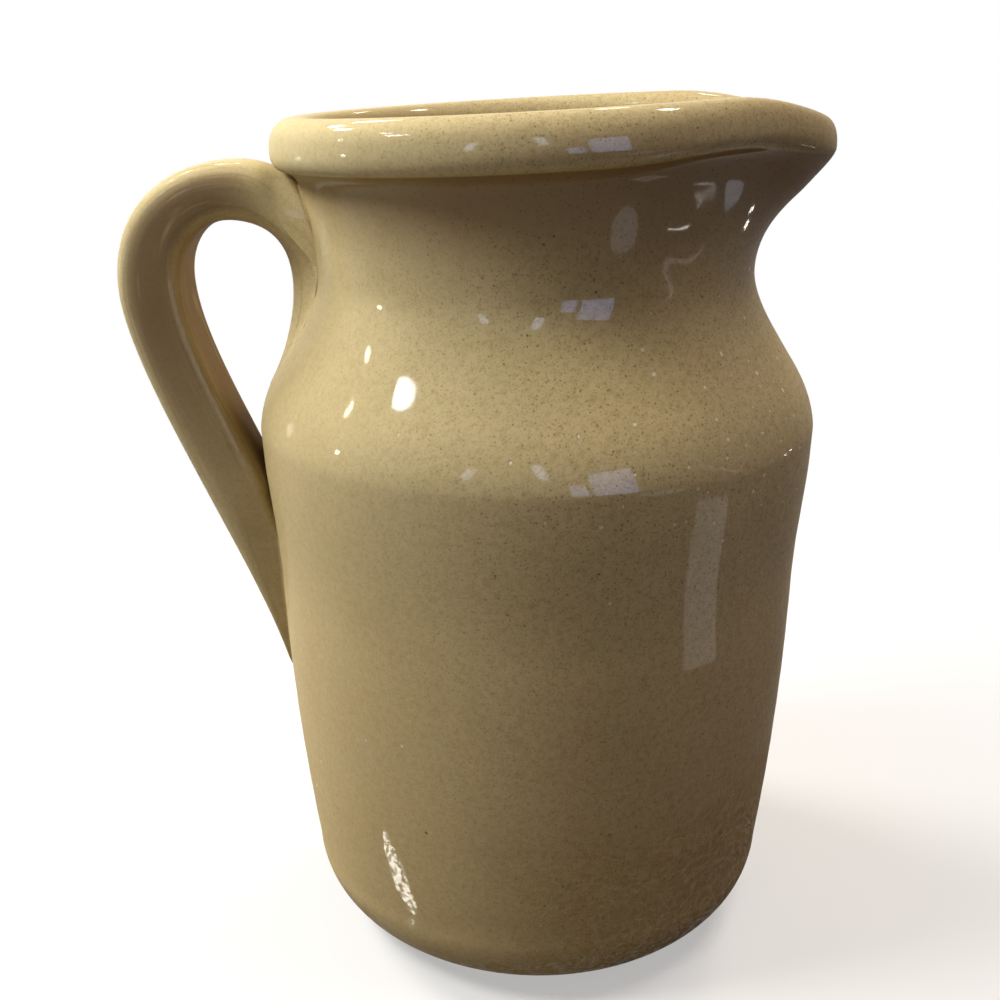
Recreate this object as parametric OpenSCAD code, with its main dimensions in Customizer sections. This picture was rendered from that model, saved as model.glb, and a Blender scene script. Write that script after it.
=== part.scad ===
// Stoneware pitcher: a thrown body with a rolled rim and a pulled lip, and one pulled strap handle.
// The foot stands on z = 0 and the pot's axis is the z axis. The lip points to +x and the handle to -x.

/* [Body] */
// Height of the rim's crest on the axis
pot_h = 229; // [224:1:245]
// Radius of the flat foot
foot_r = 43; // [36:0.5:50]
// Height of the rounded corner above the foot
corner_h = 22; // [16:1:30]
// Radius of the wall where the rounded corner ends
low_r = 66.5; // [62:0.5:69]
// Radius of the wall at half height
mid_r = 72.2; // [70:0.2:74]
// Height at which the wall reaches that radius
mid_z = 114; // [95:1:125]
// Height at which the wall starts to swell towards the shoulder
swell_z = 105; // [90:1:120]
// Largest radius of the wall, at the shoulder
top_r = 75; // [74:0.5:79]
// Height at which the shoulder turns in
shoulder_z = 147; // [140:1:151]
// Radius of the neck's waist
neck_r = 57.6; // [55:0.2:60]
// Height of the neck's waist
neck_z = 188; // [182:1:191]
// Radius of the neck where it meets the rim
neck_top_r = 61.5; // [60:0.5:63]
// Thickness of the wall
wall_t = 6.5; // [4.5:0.5:9]
// Thickness of the floor
floor_t = 8; // [5:0.5:12]
// Radius of the rounded corner inside, at the floor
inner_corner = 16; // [8:1:24]

/* [Rim] */
// Outer radius of the rolled rim
rim_r = 67.7; // [66.5:0.1:70]
// Thickness of the rolled rim
rim_t = 12; // [10:0.5:14]
// Height of the rolled rim
rim_h = 13; // [11:0.5:15]
// Squareness of the roll: 2 is an ellipse
rim_square = 2.6; // [2:0.1:4]
// Slope of the rim up towards the lip, in degrees
rim_slant = 2.35; // [0:0.05:4]

/* [Lip] */
// How far the lip stands out from the rim
lip_reach = 9.3; // [6:0.1:13]
// How far the lip droops below the rim
lip_droop = 6.4; // [3:0.1:9]
// Half the angle of the rim that is pulled into the lip, in degrees
lip_spread = 50; // [36:1:60]
// Sharpness of the lip seen from above
lip_point = 2.6; // [1.4:0.1:3.5]
// Width of the rounded edge under the lip
lip_edge = 1.6; // [1:0.1:3]
// Slope of the throat under the lip, in degrees
throat_slope = 38; // [30:1:50]
// Length over which the throat follows that slope
throat_run = 10; // [6:0.5:14]
// How far the rim's underside is pinched up on both sides of the lip
pinch_h = 2.6; // [0:0.1:4]
// Angle from the lip to the middle of each pinch, in degrees
pinch_at = 50; // [40:1:65]

/* [Handle] */
// Clear gap between the widest wall and the strap
finger_gap = 17.4; // [14:0.2:24]
// Thickness of the strap
strap_t = 18; // [15:0.1:21]
// Width of the strap
strap_w = 22; // [18:0.5:27]
// Squareness of the strap's section: 2 is an ellipse
strap_square = 2.4; // [2:0.1:3.5]
// Height at which the strap stands furthest out
crown_z = 185; // [181:0.5:189]
// Height of the arch over the finger gap
arch_z = 201; // [198:0.5:203]
// Distance from the rim's underside down to the top of the upper root
root_tuck = 3.5; // [3:0.5:6]
// Height down to which the upper root is wiped over the shoulder
root_low_z = 155; // [152:0.5:160]
// Width of the upper root
root_w = 30; // [26:0.5:36]
// Thickness of the wiped root on the neck
root_t = 2.7; // [1.5:0.1:5]
// Thickness of the wiped root at its edge
root_edge = 0.5; // [0.3:0.1:1]
// Height at which the strap's inner edge meets the wall
meet_z = 131; // [120:0.5:137]
// Height at which the tail ends
tail_z = 67; // [55:0.5:78]
// Width of the tail at its end
tail_w = 10; // [7:0.5:18]
// Thickness of the tail at its end
tail_t = 0.5; // [0.4:0.1:2]

/* [Joining slip] */
// Thickness of the slip under the handle's ends
slip_t = 0.8; // [0.5:0.1:1.5]
// Clearance on each side of the slip
slip_gap = 0.15; // [0.1:0.05:0.3]

/* [Hidden] */
clay = [0.66, 0.56, 0.36];
slip = [0.55, 0.45, 0.30];
$fn = 96;

function mix(a, b, f) = a + (b - a) * f;
function smooth(u) = let (c = max(0, min(1, u))) c * c * (3 - 2 * c);
function bezier(p, t) =
    pow(1 - t, 3) * p[0] + 3 * t * pow(1 - t, 2) * p[1] + 3 * t * t * (1 - t) * p[2] + t * t * t * p[3];
// Point at an angle on a circle of size 1 that is squared off by the power n
function squared(c, n) = sign(c) * pow(abs(c), 2 / n);
function rounded(angle, n) = [squared(cos(angle), n), squared(sin(angle), n)];

// Outer radius of the thrown pot at a height
rim_z = pot_h - rim_h;
function corner_r(z) = mix(foot_r, low_r, sqrt(1 - pow(1 - z / corner_h, 2)));
function wall_r(z) =
    mix(mid_r, low_r, pow(1 - min(1, (z - corner_h) / (mid_z - corner_h)), 2))
    + (top_r - mid_r) * smooth((z - swell_z) / (shoulder_z - swell_z));
function shoulder_r(z) = mix(top_r, neck_r, smooth((z - shoulder_z) / (neck_z - shoulder_z)));
function throat_r(z) = mix(neck_r, neck_top_r, pow(min(1, (z - neck_z) / (rim_z - neck_z)), 2));
function pot_r(z) =
    z < corner_h ? corner_r(z) : z < shoulder_z ? wall_r(z) : z < neck_z ? shoulder_r(z) : throat_r(z);

// Outline of the round body up to the neck's waist, outside upwards and inside downwards
corner_steps = 16;
wall_steps = 36;
shoulder_steps = 24;
inner_foot_z = floor_t + inner_corner;
inner_foot_r = pot_r(inner_foot_z) - wall_t - inner_corner;
outer_line = concat(
    [for (i = [0 : corner_steps - 1]) let (z = corner_h * (1 - cos(90 * i / corner_steps))) [pot_r(z), z]],
    [for (i = [0 : wall_steps - 1]) let (z = mix(corner_h, shoulder_z, i / wall_steps)) [pot_r(z), z]],
    [for (i = [0 : shoulder_steps]) let (z = mix(shoulder_z, neck_z, i / shoulder_steps)) [pot_r(z), z]]
);
inner_line = concat(
    [for (i = [0 : shoulder_steps - 1])
        let (z = mix(neck_z, shoulder_z, i / shoulder_steps)) [pot_r(z) - wall_t, z]],
    [for (i = [0 : wall_steps - 1])
        let (z = mix(shoulder_z, inner_foot_z, i / wall_steps)) [pot_r(z) - wall_t, z]],
    [for (i = [0 : corner_steps])
        let (a = 90 * i / corner_steps)
        [inner_foot_r + inner_corner * cos(a), inner_foot_z - inner_corner * sin(a)]]
);

// The collar over the waist carries the slanted rim and the lip, and its spigot sits inside the wall below
collar_sides = 96;
throat_steps = 8;
roll_steps = 18;
spigot = 1.5;
spigot_depth = 4;
seam = 0.05;
// Where the roll starts, in degrees round its middle, away from the lip and at the lip
roll_start = -75;
lip_start = -35;
// Rate at which the throat widens inside the lip
throat_rate = 1.6;
// Spread of each pinch beside the lip, in degrees
pinch_spread = 28;

inner_neck_r = neck_r - wall_t + seam;
inner_rim_r = rim_r - rim_t;
roll_middle = [rim_r - rim_t / 2, pot_h - rim_h / 2];
function roll_point(start, i) =
    let (p = rounded(mix(start, 180, i / roll_steps), rim_square))
    roll_middle + [p[0] * rim_t / 2, p[1] * rim_h / 2];
plain_section = concat(
    [for (i = [0 : throat_steps]) let (z = mix(neck_z, rim_z, i / throat_steps)) [pot_r(z) - seam, z]],
    [for (i = [0 : roll_steps]) roll_point(roll_start, i)],
    [for (i = [1 : throat_steps])
        let (u = 1 - i / throat_steps)
        [mix(inner_neck_r, inner_rim_r, smooth(u)), mix(neck_z, roll_middle[1], u)]]
);
lip_low = [rim_r + lip_reach - lip_edge, rim_z - lip_droop];
throat_line = [
    [neck_r - seam, neck_z],
    [neck_r, (neck_z + lip_low[1]) / 2],
    lip_low - throat_run * [cos(throat_slope), sin(throat_slope)],
    lip_low
];
lip_section = concat(
    [for (i = [0 : throat_steps]) bezier(throat_line, i / throat_steps)],
    [for (i = [0 : roll_steps]) roll_point(lip_start, i) + [lip_reach, -lip_droop]],
    [for (i = [1 : throat_steps])
        let (u = 1 - i / throat_steps)
        [mix(inner_neck_r, inner_rim_r + lip_reach, pow(u, throat_rate)),
         mix(neck_z, roll_middle[1] - lip_droop, u)]]
);

// Share of the lip's section, and of the pinch, at an angle from the lip
function lip_share(off) = off < lip_spread ? pow(cos(90 * off / lip_spread), lip_point) : 0;
function pinch_share(off) = smooth(1 - abs(off - pinch_at) / pinch_spread);
function throat_share(z) = smooth((z - neck_z) / (rim_z - neck_z));
function pinch_lift(off, z) =
    pinch_h * pinch_share(off) * throat_share(z) * smooth(1 - (z - rim_z) / (rim_h / 2));
function slant_lift(x, z) = tan(rim_slant) * x * throat_share(z);
function collar_point(i, angle) =
    let (off = min(angle, 360 - angle),
         p = mix(plain_section[i], lip_section[i], lip_share(off)),
         x = p[0] * cos(angle))
    [x, p[0] * sin(angle), p[1] + slant_lift(x, p[1]) + pinch_lift(off, p[1])];
collar_angles = [for (k = [0 : collar_sides - 1]) 360 * k / collar_sides];
function flat_ring(r, z) = [for (a = collar_angles) [r * cos(a), r * sin(a), z]];
collar_rings = concat(
    [flat_ring(neck_r - spigot, neck_z - spigot_depth)],
    [for (i = [0 : len(plain_section) - 1]) [for (a = collar_angles) collar_point(i, a)]],
    [flat_ring(neck_r - wall_t + spigot, neck_z - spigot_depth)]
);

// A place moved along its radius until it lies at a distance from the body, or only moved out to there
function land(p, off) =
    let (s = (pot_r(p[2] - slant_lift(p[0], p[2])) + off) / norm([p[0], p[1]])) [p[0] * s, p[1] * s, p[2]];
function clear(p, off) = let (q = land(p, off)) norm([p[0], p[1]]) < norm([q[0], q[1]]) ? q : p;

// Side view of the handle as radius and height: its outer edge in two curves, its inner edge in three.
// A lead is how far a curve keeps to the direction in which it starts or ends.
root_lead = [18, 14];
crown_lead = 29;
fall_lead = 27;
tail_lead = [4.5, 33];
tail_taper = 1.5;
wipe_lead = 23;
arch_run = 22;
arch_lead = 6.5;
bend_lead = 10;
inner_fall_lead = 14;
meet_lead = [8, 19];
slip_top = slip_gap + slip_t;
seat = slip_top + slip_gap;
strap_in = top_r + finger_gap;
strap_out = strap_in + strap_t;
root_top_z = rim_z + slant_lift(-neck_top_r, rim_z) - root_tuck;
root_top = [pot_r(root_top_z), root_top_z];
root_low = [pot_r(root_low_z), root_low_z];
arch = [neck_r + arch_run, arch_z];
meet = [pot_r(meet_z) + seat, meet_z];
tail = [pot_r(tail_z) + seat + tail_t, tail_z];
crown_in = [strap_in, crown_z];
crown_out = [strap_out, crown_z];
outer_top = [root_top, root_top + root_lead, crown_out + [0, crown_lead], crown_out];
outer_fall = [crown_out, crown_out - [0, fall_lead], tail + tail_lead, tail];
inner_root = [root_low, [neck_r + root_t, root_low_z + wipe_lead], [neck_r + root_t, arch_z], arch];
inner_bend = [arch, arch + [arch_lead, 0], crown_in + [0, bend_lead], crown_in];
inner_fall = [crown_in, crown_in - [0, inner_fall_lead], meet + meet_lead, meet];

// One ring of the handle between its two edges. It starts on one side of the strap, so that its points
// lie in pairs across the thickness, first with last.
ring_points = 24;
ring_start = 90;
ring_angles = [for (k = [0 : ring_points - 1]) ring_start + 360 * (k + 0.5) / ring_points];
function section(inner, outer, w) =
    [for (a = ring_angles)
        let (s = rounded(a, strap_square), p = (inner + outer) / 2 + s[0] * (outer - inner) / 2)
        [-p[0], s[1] * w / 2, p[1]]];

// Upper root: the rings rise from the neck, with the strap's sides running out into the wall
root_rings = 12;
root_share = 0.26;
root_rise = 0.5;
root_off = seat + root_edge;
function root_section(f) =
    let (w = mix(root_w, strap_w, smooth(f / root_rise)))
    section(bezier(inner_root, f), bezier(outer_top, f * root_share), w);
function root_ring(f) =
    let (raw = root_section(f))
    [for (k = [0 : ring_points - 1])
        let (rise = mix(1, smooth(f / root_rise), abs(sin(ring_angles[k]))), on = land(raw[k], root_off))
        f == 0 ? on : mix(on, clear(raw[k], root_off), rise)];

// Bed of the upper root on the neck, in rings that grow from its middle
bed_steps = 7;
bed_shares = [for (i = [1 : bed_steps]) i / bed_steps];
root_middle = (root_low + root_top) / 2;
function bed_ring(share, off) =
    [for (p = root_section(0)) land(mix([-root_middle[0], 0, root_middle[1]], p, share), off)];

// Tail: the underside comes down onto the wall, and from bed_from on it lies on the slip
tail_rings = 14;
bed_from = 4;
tail_share = 0.5;
function tail_section(f) =
    let (z = mix(meet_z, tail_z, f), w = mix(strap_w, tail_w, pow(f, tail_taper)))
    section([pot_r(z) + seat, z], bezier(outer_fall, mix(tail_share, 1, f)), w);
function tail_ring(i) =
    let (raw = tail_section(i / tail_rings))
    [for (k = [0 : ring_points - 1])
        let (near = clear(raw[k], seat))
        cos(ring_angles[k]) < 0 ? mix(near, land(raw[k], seat), smooth(i / bed_from)) : near];
under = [for (k = [0 : ring_points - 1]) if (cos(ring_angles[k]) < 0) k];
function tail_bed_ring(i) =
    let (raw = tail_section(i / tail_rings), n = len(under))
    concat(
        [for (k = under) land(raw[k], slip_gap)],
        [for (j = [n - 1 : -1 : 0]) land(raw[under[j]], slip_top)]
    );

bend_rings = 8;
fall_rings = 8;
handle_rings = concat(
    [for (s = bed_shares) bed_ring(s, seat)],
    [for (i = [0 : root_rings]) root_ring(i / root_rings)],
    [for (i = [1 : bend_rings])
        let (f = i / bend_rings)
        section(bezier(inner_bend, f), bezier(outer_top, mix(root_share, 1, f)), strap_w)],
    [for (i = [1 : fall_rings])
        let (f = i / fall_rings)
        section(bezier(inner_fall, f), bezier(outer_fall, f * tail_share), strap_w)],
    [for (i = [1 : tail_rings]) tail_ring(i)]
);

// Solid over a row of rings, joined up end to end or with both ends closed by rungs between paired points
module skin(rings, endless = false) {
    n = len(rings[0]);
    m = len(rings);
    top = (m - 1) * n;
    sides = [for (j = [0 : endless ? m - 1 : m - 2], k = [0 : n - 1])
        let (a = j * n, b = ((j + 1) % m) * n, next = (k + 1) % n)
        each [[a + k, b + k, a + next], [a + next, b + k, b + next]]];
    ends = [for (k = [0 : n / 2 - 2])
        let (pair = n - 1 - k)
        each [[k, k + 1, pair], [k + 1, pair - 1, pair],
              [top + k, top + pair, top + k + 1], [top + k + 1, top + pair, top + pair - 1]]];
    polyhedron(points = [for (r = rings) each r], faces = endless ? sides : concat(sides, ends));
}

module body() {
    color(clay) {
        rotate_extrude() polygon(concat([[0, 0]], outer_line, inner_line, [[0, floor_t]]));
        skin(collar_rings, endless = true);
    }
}

module handle() {
    color(clay) skin(handle_rings);
}

module upper_slip() {
    color(slip) skin(concat(
        [for (s = bed_shares) bed_ring(s, slip_gap)],
        [for (j = [bed_steps - 1 : -1 : 0]) bed_ring(bed_shares[j], slip_top)]
    ));
}

module lower_slip() {
    color(slip) skin([for (i = [bed_from : tail_rings]) tail_bed_ring(i)]);
}

body();
handle();
upper_slip();
lower_slip();
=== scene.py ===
"""Stoneware pitcher: a thrown body with a rolled rim and a pulled lip, and one pulled strap handle."""

import logging
import math
from collections.abc import Callable, Sequence
from dataclasses import dataclass
from enum import Enum
from typing import Any

import bmesh
import bpy
from mathutils import Matrix, Quaternion, Vector, kdtree, noise


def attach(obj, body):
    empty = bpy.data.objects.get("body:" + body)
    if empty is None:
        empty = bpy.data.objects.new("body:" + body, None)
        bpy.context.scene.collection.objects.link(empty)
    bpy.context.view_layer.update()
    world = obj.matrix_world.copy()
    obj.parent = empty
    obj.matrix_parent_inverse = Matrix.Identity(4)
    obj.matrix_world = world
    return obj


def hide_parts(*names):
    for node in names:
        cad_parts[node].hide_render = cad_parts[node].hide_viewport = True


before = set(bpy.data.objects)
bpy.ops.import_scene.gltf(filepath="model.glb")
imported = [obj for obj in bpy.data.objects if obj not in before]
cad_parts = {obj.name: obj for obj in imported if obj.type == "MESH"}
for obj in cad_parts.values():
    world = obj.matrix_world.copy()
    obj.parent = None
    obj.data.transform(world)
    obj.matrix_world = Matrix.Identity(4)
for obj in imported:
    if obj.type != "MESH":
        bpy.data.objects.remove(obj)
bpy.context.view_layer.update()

LOG = logging.getLogger("pitcher")

Pair = tuple[float, float]
Ring = list[Vector]
Colour = tuple[float, float, float]
Place = tuple[float, float, float]

WHITE: Colour = (1.0, 1.0, 1.0)
CREAM: Colour = (1.0, 0.97, 0.90)
BULB: Colour = (1.0, 0.95, 0.84)
GLINT: Colour = (1.0, 0.95, 0.85)
STREAK: Colour = (1.0, 0.97, 0.92)
SKY: Colour = (0.46, 0.58, 1.0)
PALE_SKY: Colour = (0.66, 0.75, 1.0)


def mix(a: Any, b: Any, f: float) -> Any:
    """Value or vector between a and b at the share f."""
    return a + (b - a) * f


def smooth(u: float) -> float:
    """Soft step from 0 to 1 while u goes from 0 to 1."""
    c = max(0.0, min(1.0, u))
    return c * c * (3.0 - 2.0 * c)


def bell(u: float) -> float:
    """Bell curve of height 1 round 0."""
    return math.exp(-u * u)


def bezier(p: Sequence[Vector], t: float) -> Vector:
    """Point of a cubic curve.

    Args:
        p: The curve's four points.
        t: Share of the way along it.

    Returns:
        The point there.
    """
    s = 1.0 - t
    return s ** 3 * p[0] + 3 * t * s * s * p[1] + 3 * t * t * s * p[2] + t ** 3 * p[3]


def rounded(angle: float, power: float) -> Pair:
    """Point on a circle of size 1 that is squared off.

    Args:
        angle: Direction of the point, in radians.
        power: Squareness, where 2 is a circle.

    Returns:
        The point's two coordinates.
    """
    c, s = math.cos(angle), math.sin(angle)
    return math.copysign(abs(c) ** (2 / power), c), math.copysign(abs(s) ** (2 / power), s)


@dataclass(frozen=True)
class PotShape:
    """Sizes of the thrown pot, in metres and radians, with the curves that follow from them."""

    pot_h: float = 0.22895
    foot_r: float = 0.043
    corner_h: float = 0.022
    low_r: float = 0.0665
    mid_r: float = 0.0722
    mid_z: float = 0.114
    swell_z: float = 0.105
    top_r: float = 0.075
    shoulder_z: float = 0.147
    neck_r: float = 0.0576
    neck_z: float = 0.188
    neck_top_r: float = 0.0615
    wall_t: float = 0.0065
    floor_t: float = 0.008
    inner_corner: float = 0.016
    rim_r: float = 0.06752
    rim_t: float = 0.012
    rim_h: float = 0.013
    rim_square: float = 2.45
    rim_lean: float = 0.10
    rim_slant: float = math.radians(2.35)
    lip_reach: float = 0.0093
    lip_droop: float = 0.0064
    lip_spread: float = math.radians(50)
    lip_point: float = 2.6
    lip_edge: float = 0.0016
    throat_slope: float = math.radians(38)
    throat_run: float = 0.010
    throat_rate: float = 1.6
    pinch_h: float = 0.0014
    pinch_at: float = math.radians(50)
    pinch_spread: float = math.radians(28)
    roll_start: float = math.radians(-75)
    lip_start: float = math.radians(-35)

    @property
    def rim_z(self) -> float:
        """Height of the rim's underside."""
        return self.pot_h - self.rim_h

    @property
    def roll_middle(self) -> Vector:
        """Middle of the rolled rim, as radius and height."""
        return Vector((self.rim_r - self.rim_t / 2, self.pot_h - self.rim_h / 2))

    def radius(self, z: float) -> float:
        """Outer radius of the pot at a height.

        Args:
            z: Height above the foot.

        Returns:
            The radius there, up to the rim's underside.
        """
        if z < self.corner_h:
            return mix(self.foot_r, self.low_r, math.sqrt(max(0.0, 1 - (1 - z / self.corner_h) ** 2)))
        if z < self.shoulder_z:
            rise = min(1.0, (z - self.corner_h) / (self.mid_z - self.corner_h))
            swell = smooth((z - self.swell_z) / (self.shoulder_z - self.swell_z))
            return mix(self.mid_r, self.low_r, (1 - rise) ** 2) + (self.top_r - self.mid_r) * swell
        if z < self.neck_z:
            return mix(self.top_r, self.neck_r, smooth((z - self.shoulder_z) / (self.neck_z - self.shoulder_z)))
        flare = min(1.0, (z - self.neck_z) / (self.rim_z - self.neck_z))
        return mix(self.neck_r, self.neck_top_r, flare ** 2)

    def throat_share(self, z: float) -> float:
        """How far a height is on its way from the waist up to the rim."""
        return smooth((z - self.neck_z) / (self.rim_z - self.neck_z))

    def slant_lift(self, x: float, z: float) -> float:
        """Rise of the slanted rim at a place."""
        return math.tan(self.rim_slant) * x * self.throat_share(z)

    def pinch_lift(self, off: float, z: float) -> float:
        """Rise of the rim's underside beside the lip, at an angle from it."""
        share = smooth(1 - abs(off - self.pinch_at) / self.pinch_spread)
        return self.pinch_h * share * self.throat_share(z) * smooth(1 - (z - self.rim_z) / (self.rim_h / 2))

    def lip_share(self, off: float) -> float:
        """Share of the lip's section in the rim.

        Args:
            off: Angle from the middle of the lip.

        Returns:
            The share, 1 in the middle and 0 past the lip's spread.
        """
        if off >= self.lip_spread:
            return 0.0
        return math.cos(math.pi / 2 * off / self.lip_spread) ** self.lip_point

    def roll(self, start: float, u: float) -> Vector:
        """Point on the rolled rim.

        Args:
            start: Angle round the roll's middle at which the roll starts.
            u: Share of the way from there to the inside.

        Returns:
            The point as radius and height.
        """
        px, pz = rounded(mix(start, math.pi, u), self.rim_square)
        lean = -pz * self.rim_lean * self.rim_h / 2
        return self.roll_middle + Vector((px * self.rim_t / 2 + lean, pz * self.rim_h / 2))

    def offset(self, p: Vector) -> float:
        """Distance of a place from the pot's outside, measured along the radius."""
        return math.hypot(p.x, p.y) - self.radius(p.z - self.slant_lift(p.x, p.z))

    def land(self, p: Vector, off: float) -> Vector:
        """A place moved along its radius until it lies at a distance from the pot's outside.

        Args:
            p: The place.
            off: The distance to keep, below 0 inside the wall.

        Returns:
            The place on the pot.
        """
        s = (self.radius(p.z - self.slant_lift(p.x, p.z)) + off) / math.hypot(p.x, p.y)
        return Vector((p.x * s, p.y * s, p.z))

    def clear(self, p: Vector, off: float) -> Vector:
        """A place moved out along its radius where it lies deeper than a distance."""
        return self.land(p, off) if self.offset(p) < off else p


class Bench:
    """Mesh operators that the pieces share."""

    merge_gap: float = 2e-6

    @staticmethod
    def start(name: str, primitive: Callable[..., Any], **sizes: Any) -> bpy.types.Object:
        """Adds a primitive with nothing else selected and opens it for editing.

        Args:
            name: Name of the piece.
            primitive: Operator that adds the primitive.
            **sizes: The operator's own options.

        Returns:
            The new object, in edit mode.
        """
        bpy.ops.object.select_all(action="DESELECT")
        primitive(**sizes)
        piece = bpy.context.object
        piece.name = piece.data.name = name
        bpy.ops.object.mode_set(mode="EDIT")
        bpy.ops.mesh.select_all(action="SELECT")
        return piece

    @staticmethod
    def close(crease: float, fill: bool = False) -> None:
        """Merges doubles, turns the faces outwards and leaves edit mode with smooth shading.

        Args:
            crease: Angle past which an edge stays sharp, in radians.
            fill: Whether open ends are closed first.
        """
        bpy.ops.mesh.select_all(action="SELECT")
        bpy.ops.mesh.remove_doubles(threshold=Bench.merge_gap)
        if fill:
            bpy.ops.mesh.fill_holes(sides=0)
        bpy.ops.mesh.select_all(action="SELECT")
        bpy.ops.mesh.normals_make_consistent(inside=False)
        bpy.ops.object.mode_set(mode="OBJECT")
        bpy.ops.object.shade_smooth_by_angle(angle=crease)

    @staticmethod
    def loft(name: str, rings: Sequence[Ring], crease: float, fill: bool) -> bpy.types.Object:
        """Extrudes a circle from ring to ring.

        Args:
            name: Name of the piece.
            rings: Rings with the same number of points, each of which goes to the same place in the next.
            crease: Angle past which an edge stays sharp, in radians.
            fill: Whether the two ends are closed. Otherwise the last ring lies on the first.

        Returns:
            The piece, with its rings and places numbered in two point attributes.
        """
        piece = Bench.start(name, bpy.ops.mesh.primitive_circle_add, vertices=len(rings[0]), fill_type="NOTHING")
        bm = bmesh.from_edit_mesh(piece.data)
        place_of = bm.verts.layers.int.new("place")
        bm.verts.layers.int.new("ring")
        bm.verts.ensure_lookup_table()
        for place, v in enumerate(bm.verts):
            v[place_of] = place
        for number, ring in enumerate(rings):
            if number:
                bpy.ops.mesh.extrude_region_move()
            bm = bmesh.from_edit_mesh(piece.data)
            place_of, ring_of = bm.verts.layers.int["place"], bm.verts.layers.int["ring"]
            for v in bm.verts:
                if v.select:
                    v.co = ring[v[place_of]]
                    v[ring_of] = number
        bmesh.update_edit_mesh(piece.data)
        Bench.close(crease, fill)
        return piece

    @staticmethod
    def forget(piece: bpy.types.Object) -> None:
        """Takes the numbers of the rings and places off a lofted piece."""
        for name in ("ring", "place"):
            piece.data.attributes.remove(piece.data.attributes[name])


class Wire:
    """An output socket of a node, on which sums are written as on a number."""

    def __init__(self, sheet: "NodeSheet", socket: bpy.types.NodeSocket) -> None:
        """Keeps the socket and the sheet that it is on."""
        self.sheet = sheet
        self.socket = socket

    def math(self, operation: str, *values: "Wire | float") -> "Wire":
        """Adds a Math node.

        Args:
            operation: The node's operation.
            *values: Its inputs in order.

        Returns:
            The node's output.
        """
        return self.sheet.node("ShaderNodeMath", {"operation": operation}, dict(enumerate(values)))["Value"]

    def __add__(self, other: "Wire | float") -> "Wire":
        """Sum of the two."""
        return self.math("ADD", self, other)

    __radd__ = __add__

    def __sub__(self, other: "Wire | float") -> "Wire":
        """The other taken from this."""
        return self.math("SUBTRACT", self, other)

    def __rsub__(self, other: "Wire | float") -> "Wire":
        """This taken from the other."""
        return self.math("SUBTRACT", other, self)

    def __mul__(self, other: "Wire | float") -> "Wire":
        """Product of the two."""
        return self.math("MULTIPLY", self, other)

    __rmul__ = __mul__

    def __lt__(self, other: "Wire | float") -> "Wire":
        """1 where this is the smaller, otherwise 0."""
        return self.math("LESS_THAN", self, other)

    def __gt__(self, other: "Wire | float") -> "Wire":
        """1 where this is the larger, otherwise 0."""
        return self.math("GREATER_THAN", self, other)

    def step(self, low: "Wire | float", high: "Wire | float", start: float = 0.0, end: float = 1.0) -> "Wire":
        """Soft step of this value.

        Args:
            low: Value at which the step starts.
            high: Value at which it ends.
            start: Result up to low.
            end: Result from high on.

        Returns:
            The stepped value.
        """
        return self.sheet.node(
            "ShaderNodeMapRange",
            {"interpolation_type": "SMOOTHSTEP"},
            {"Value": self, "From Min": low, "From Max": high, "To Min": start, "To Max": end},
        )["Result"]


class Fitting:
    """A node on a sheet, whose outputs are taken by name."""

    def __init__(self, sheet: "NodeSheet", node: bpy.types.Node) -> None:
        """Keeps the node and the sheet that it is on."""
        self.sheet = sheet
        self.node = node

    def __getitem__(self, name: str) -> Wire:
        """The output with this name or identifier."""
        return Wire(self.sheet, NodeSheet.find(self.node.outputs, name))


class NodeSheet:
    """The node tree of a material or of the world."""

    def __init__(self, tree: bpy.types.NodeTree) -> None:
        """Clears the tree."""
        self.tree = tree
        tree.nodes.clear()

    @staticmethod
    def find(sockets: Any, key: "str | int") -> bpy.types.NodeSocket:
        """A socket by its number, its identifier or its name.

        Args:
            sockets: A node's inputs or outputs.
            key: What the socket is found by.

        Returns:
            The socket.
        """
        if isinstance(key, int):
            return sockets[key]
        for socket in sockets:
            if socket.identifier == key:
                return socket
        return next(socket for socket in sockets if socket.name == key and socket.enabled)

    def node(self, kind: str, settings: dict[str, Any], sockets: dict[Any, Any]) -> Fitting:
        """Adds any node.

        Args:
            kind: The node's type.
            settings: Its settings, which are set first.
            sockets: Values or wires for its inputs, by name, identifier or number.

        Returns:
            The node.
        """
        node = self.tree.nodes.new(kind)
        for name, value in settings.items():
            setattr(node, name, value)
        for key, value in sockets.items():
            socket = self.find(node.inputs, key)
            if isinstance(value, Wire):
                self.tree.links.new(value.socket, socket)
            elif isinstance(value, tuple) and socket.type == "RGBA":
                socket.default_value = (*value, 1.0)
            else:
                socket.default_value = value
        return Fitting(self, node)

    def blend(self, share: "Wire | float", a: "Wire | Colour", b: "Wire | Colour") -> Wire:
        """Mixes two colours.

        Args:
            share: How much of b there is.
            a: The first colour.
            b: The second colour.

        Returns:
            The mixed colour.
        """
        return self.node(
            "ShaderNodeMix",
            {"data_type": "RGBA", "blend_type": "MIX", "clamp_factor": True},
            {"Factor_Float": share, "A_Color": a, "B_Color": b},
        )["Result_Color"]

    def ragged(self, at: Wire, scale: float, reach: float) -> Wire:
        """Shifts places by noise, so that round marks get ragged edges.

        Args:
            at: Place on the piece.
            scale: Number of waves in a metre.
            reach: How far a place is shifted at most.

        Returns:
            The shifted place.
        """
        shift = self.node("ShaderNodeTexNoise", {}, {"Vector": at, "Scale": scale, "Detail": 1.0})["Color"]
        return self.node(
            "ShaderNodeVectorMath", {"operation": "MULTIPLY_ADD"}, {0: shift, 1: (reach,) * 3, 2: at}
        )["Vector"]


@dataclass(frozen=True)
class Step:
    """A soft step of a value, from one result to another."""

    low: float
    high: float
    start: float = 0.0
    end: float = 1.0

    def of(self, value: Wire) -> Wire:
        """The step of a value."""
        return value.step(self.low, self.high, self.start, self.end)


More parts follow.
